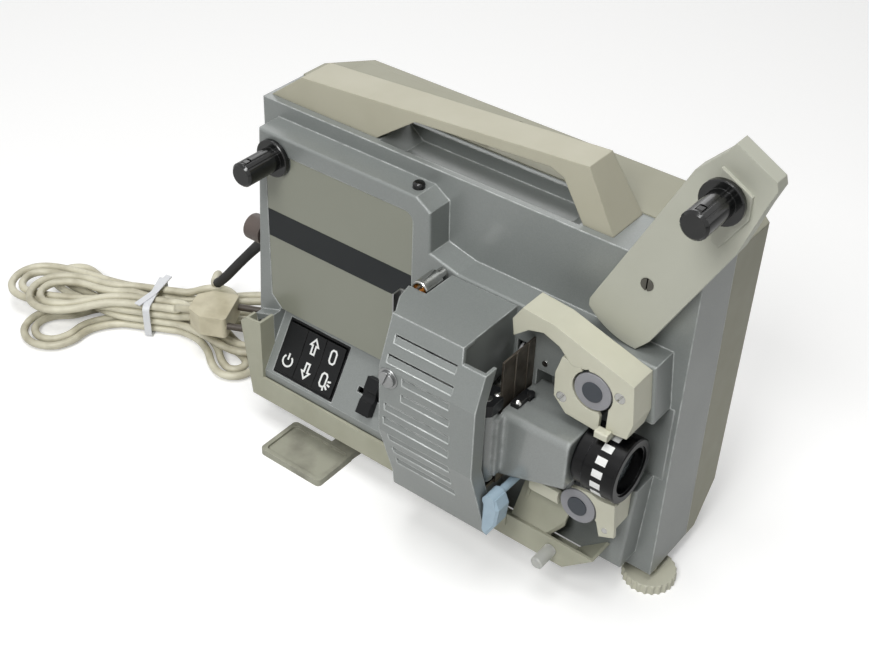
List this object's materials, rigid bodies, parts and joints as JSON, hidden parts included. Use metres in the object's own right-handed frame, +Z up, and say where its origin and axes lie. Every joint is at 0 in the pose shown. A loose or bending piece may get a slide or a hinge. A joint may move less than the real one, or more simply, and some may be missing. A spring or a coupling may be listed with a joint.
{
  "type": "movie projector",
  "caption": "Compact home movie projector with a carrying handle, louvred lamp house, swing-out lens, toothed sprockets, fold-down reel arm and tied mains cord.",
  "frame": {"origin": "on the table, under the middle of the machine's box without its cord", "axes": "+X towards the lens end, +Y from the operating face to the back, +Z up"},
  "size_m": [0.4564, 0.1344, 0.256],
  "materials": {
    "silver_enamel": "silver enamel with a fine sparkle",
    "beige_plastic": "fine-grained moulded beige",
    "ivory_plastic": "fine-grained moulded ivory",
    "black_steel": "black enamel",
    "gate_steel": "dark oiled steel",
    "spring_steel": "bare steel",
    "satin_plate": "satin lacquer",
    "black_plastic": "glossy black",
    "grey_plastic": "grey moulded",
    "clear_plastic": "frosted clear",
    "brown_plastic": "brown moulded",
    "blue_plastic": "light blue moulded",
    "black_anodised": "black anodised",
    "lens_glass": "coated",
    "lamp_glass": "bright reflector",
    "ceramic_white": "ceramic",
    "bright_chrome": "polished",
    "black_rubber": "matte",
    "cream_cord": "soft cream sheath",
    "white_plastic": "white tie",
    "cream_plastic": "moulded cream"
  },
  "bodies": {
    "housing": {"front_housing": "silver_enamel", "rear_cover": "beige_plastic", "carry_handle": "beige_plastic", "base_plate": "black_steel", "panel_plate": "satin_plate", "switch_block": "black_plastic", "film_channel": "beige_plastic", "lower_film_guide": "beige_plastic", "upper_guard": "ivory_plastic", "upper_shoe": "ivory_plastic", "lower_shoe": "ivory_plastic", "face_screws": "bright_chrome", "gate_plate": "gate_steel", "hinge_block": "black_steel", "hinge_pin": "bright_chrome", "lens_bay_floor": "silver_enamel", "lamp_house_cover": "silver_enamel", "cover_clip": "spring_steel", "lamp": "lamp_glass", "lamp_holder": "ceramic_white", "pad_screw": "spring_steel", "rubber_feet": "black_rubber", "chassis_plate": "spring_steel", "motor_body": "black_steel", "drive_belt": "black_rubber", "transformer": "black_steel", "cord_sleeve": "black_rubber", "mains_cord": "cream_cord", "cord_hank": "cream_cord", "cable_tie": "white_plastic", "mains_plug": "cream_plastic"},
    "takeup_spindle": {"takeup_spindle": "black_plastic"},
    "takeup_latch": {"takeup_latch": "black_plastic"},
    "supply_arm": {"supply_arm": "beige_plastic"},
    "supply_spindle": {"supply_spindle": "black_plastic"},
    "supply_latch": {"supply_latch": "black_plastic"},
    "lens_carrier": {"lens_carrier": "silver_enamel", "gate_finger": "black_steel"},
    "lens_barrel": {"lens_barrel": "black_anodised", "front_lens": "lens_glass"},
    "zoom_ring": {"zoom_ring": "black_anodised"},
    "upper_sprocket": {"upper_sprocket": "grey_plastic"},
    "lower_sprocket": {"lower_sprocket": "grey_plastic"},
    "main_shaft": {"main_shaft": "spring_steel"},
    "timing_shaft": {"timing_shaft": "spring_steel"},
    "motor_rotor": {"motor_rotor": "spring_steel"},
    "claw_arm": {"claw_arm": "spring_steel"},
    "key_motor": {"key_motor": "black_plastic"},
    "key_direction": {"key_direction": "black_plastic"},
    "key_lamp": {"key_lamp": "black_plastic"},
    "top_button": {"top_button": "black_plastic"},
    "speed_lever": {"speed_lever": "black_plastic"},
    "framing_pin": {"framing_pin": "bright_chrome"},
    "loop_lever": {"loop_lever": "blue_plastic"},
    "exit_roller": {"exit_roller": "bright_chrome"},
    "rail_knob": {"rail_knob": "clear_plastic"},
    "cover_screw": {"cover_screw": "bright_chrome"},
    "side_knob": {"side_knob": "brown_plastic"},
    "front_foot": {"front_foot": "ivory_plastic"},
    "swing_pad": {"swing_pad": "beige_plastic"}
  },
  "joints": [
    {"name": "takeup_spindle_turn", "type": "hinge", "parent": "housing", "child": "takeup_spindle", "pos_m": [-0.1125, -0.0144, 0.1641], "axis": [0, 1, 0], "continuous": true},
    {"name": "takeup_latch_press", "type": "slide", "parent": "takeup_spindle", "child": "takeup_latch", "axis": [0, 0, -1], "range_m": [0, 0.001], "stiffness_N_per_m": 300, "springref_m": -0.002},
    {"name": "supply_arm_fold", "type": "hinge", "parent": "housing", "child": "supply_arm", "pos_m": [0.0923, -0.0144, 0.1795], "axis": [0, -1, 0], "range_deg": [0, 106]},
    {"name": "supply_spindle_turn", "type": "hinge", "parent": "supply_arm", "child": "supply_spindle", "pos_m": [0.1208, -0.0144, 0.2341], "axis": [0, 1, 0], "continuous": true},
    {"name": "supply_latch_press", "type": "slide", "parent": "supply_spindle", "child": "supply_latch", "axis": [0, 0, -1], "range_m": [0, 0.001], "stiffness_N_per_m": 300, "springref_m": -0.002},
    {"name": "lens_carrier_swing", "type": "hinge", "parent": "housing", "child": "lens_carrier", "pos_m": [0.041, -0.0444, 0.085], "axis": [0, 0, -1], "range_deg": [0, 65]},
    {"name": "focus_slide", "type": "slide", "parent": "lens_carrier", "child": "lens_barrel", "axis": [1, 0, 0], "range_m": [0, 0.004]},
    {"name": "zoom_turn", "type": "hinge", "parent": "lens_barrel", "child": "zoom_ring", "pos_m": [0.0896, -0.0244, 0.093], "axis": [1, 0, 0], "range_deg": [-40, 40]},
    {"name": "main_shaft_turn", "type": "hinge", "parent": "housing", "child": "main_shaft", "pos_m": [-0.022, 0.0076, 0.093], "axis": [1, 0, 0], "continuous": true},
    {"name": "timing_shaft_turn", "type": "hinge", "parent": "housing", "child": "timing_shaft", "pos_m": [0.067, 0.0196, 0.093], "axis": [0, 0, 1], "continuous": true},
    {"name": "upper_sprocket_turn", "type": "hinge", "parent": "housing", "child": "upper_sprocket", "pos_m": [0.0843, -0.0144, 0.1301], "axis": [0, 1, 0], "continuous": true},
    {"name": "lower_sprocket_turn", "type": "hinge", "parent": "housing", "child": "lower_sprocket", "pos_m": [0.0843, -0.0144, 0.0621], "axis": [0, 1, 0], "continuous": true},
    {"name": "motor_turn", "type": "hinge", "parent": "housing", "child": "motor_rotor", "pos_m": [-0.093, 0.0386, 0.058], "axis": [1, 0, 0], "continuous": true},
    {"name": "claw_stroke", "type": "slide", "parent": "housing", "child": "claw_arm", "axis": [0, 0, 1], "range_m": [0, 0.00423]},
    {"name": "key_motor_rock", "type": "hinge", "parent": "housing", "child": "key_motor", "pos_m": [-0.1074, -0.0176, 0.05251], "axis": [1, 0, 0], "range_deg": [-5, 5]},
    {"name": "key_direction_rock", "type": "hinge", "parent": "housing", "child": "key_direction", "pos_m": [-0.1074, -0.0176, 0.05251], "axis": [1, 0, 0], "range_deg": [-5, 5]},
    {"name": "key_lamp_rock", "type": "hinge", "parent": "housing", "child": "key_lamp", "pos_m": [-0.1074, -0.0176, 0.05251], "axis": [1, 0, 0], "range_deg": [-5, 5]},
    {"name": "top_button_press", "type": "slide", "parent": "housing", "child": "top_button", "axis": [0, 0, -1], "range_m": [0, 0.002], "stiffness_N_per_m": 400, "springref_m": -0.002},
    {"name": "speed_lever_slide", "type": "slide", "parent": "housing", "child": "speed_lever", "axis": [1, 0, 0], "range_m": [-0.006, 0.006]},
    {"name": "framing_turn", "type": "hinge", "parent": "housing", "child": "framing_pin", "pos_m": [-0.008, -0.0144, 0.1426], "axis": [0, 1, 0], "range_deg": [-60, 60]},
    {"name": "loop_lever_swing", "type": "hinge", "parent": "housing", "child": "loop_lever", "pos_m": [0.052, -0.0144, 0.063], "axis": [0, -1, 0], "range_deg": [0, 22]},
    {"name": "exit_roller_turn", "type": "hinge", "parent": "housing", "child": "exit_roller", "pos_m": [-0.1194, -0.0244, 0.063], "axis": [0, 1, 0], "continuous": true},
    {"name": "rail_knob_turn", "type": "hinge", "parent": "housing", "child": "rail_knob", "pos_m": [0.0734, -0.0344, 0.027], "axis": [0, 1, 0], "range_deg": [0, 90]},
    {"name": "cover_screw_turn", "type": "hinge", "parent": "housing", "child": "cover_screw", "pos_m": [-0.0004, -0.0544, 0.1146], "axis": [0, 1, 0], "range_deg": [0, 90]},
    {"name": "side_knob_turn", "type": "hinge", "parent": "housing", "child": "side_knob", "pos_m": [-0.139, -0.0071, 0.11], "axis": [1, 0, 0], "continuous": true},
    {"name": "front_foot_height", "type": "slide", "parent": "housing", "child": "front_foot", "axis": [0, 0, 1], "range_m": [-0.008, 0.0025]},
    {"name": "swing_pad_turn", "type": "hinge", "parent": "housing", "child": "swing_pad", "pos_m": [-0.065, 0.0116, 0], "axis": [0, 0, 1], "range_deg": [0, 170]}
  ],
  "couplings": [
    {"joint": "timing_shaft_turn", "follows": "main_shaft_turn", "ratio": 0.5},
    {"joint": "upper_sprocket_turn", "follows": "main_shaft_turn", "ratio": 0.083333},
    {"joint": "lower_sprocket_turn", "follows": "main_shaft_turn", "ratio": 0.083333},
    {"joint": "motor_turn", "follows": "main_shaft_turn", "ratio": 2.129}
  ]
}
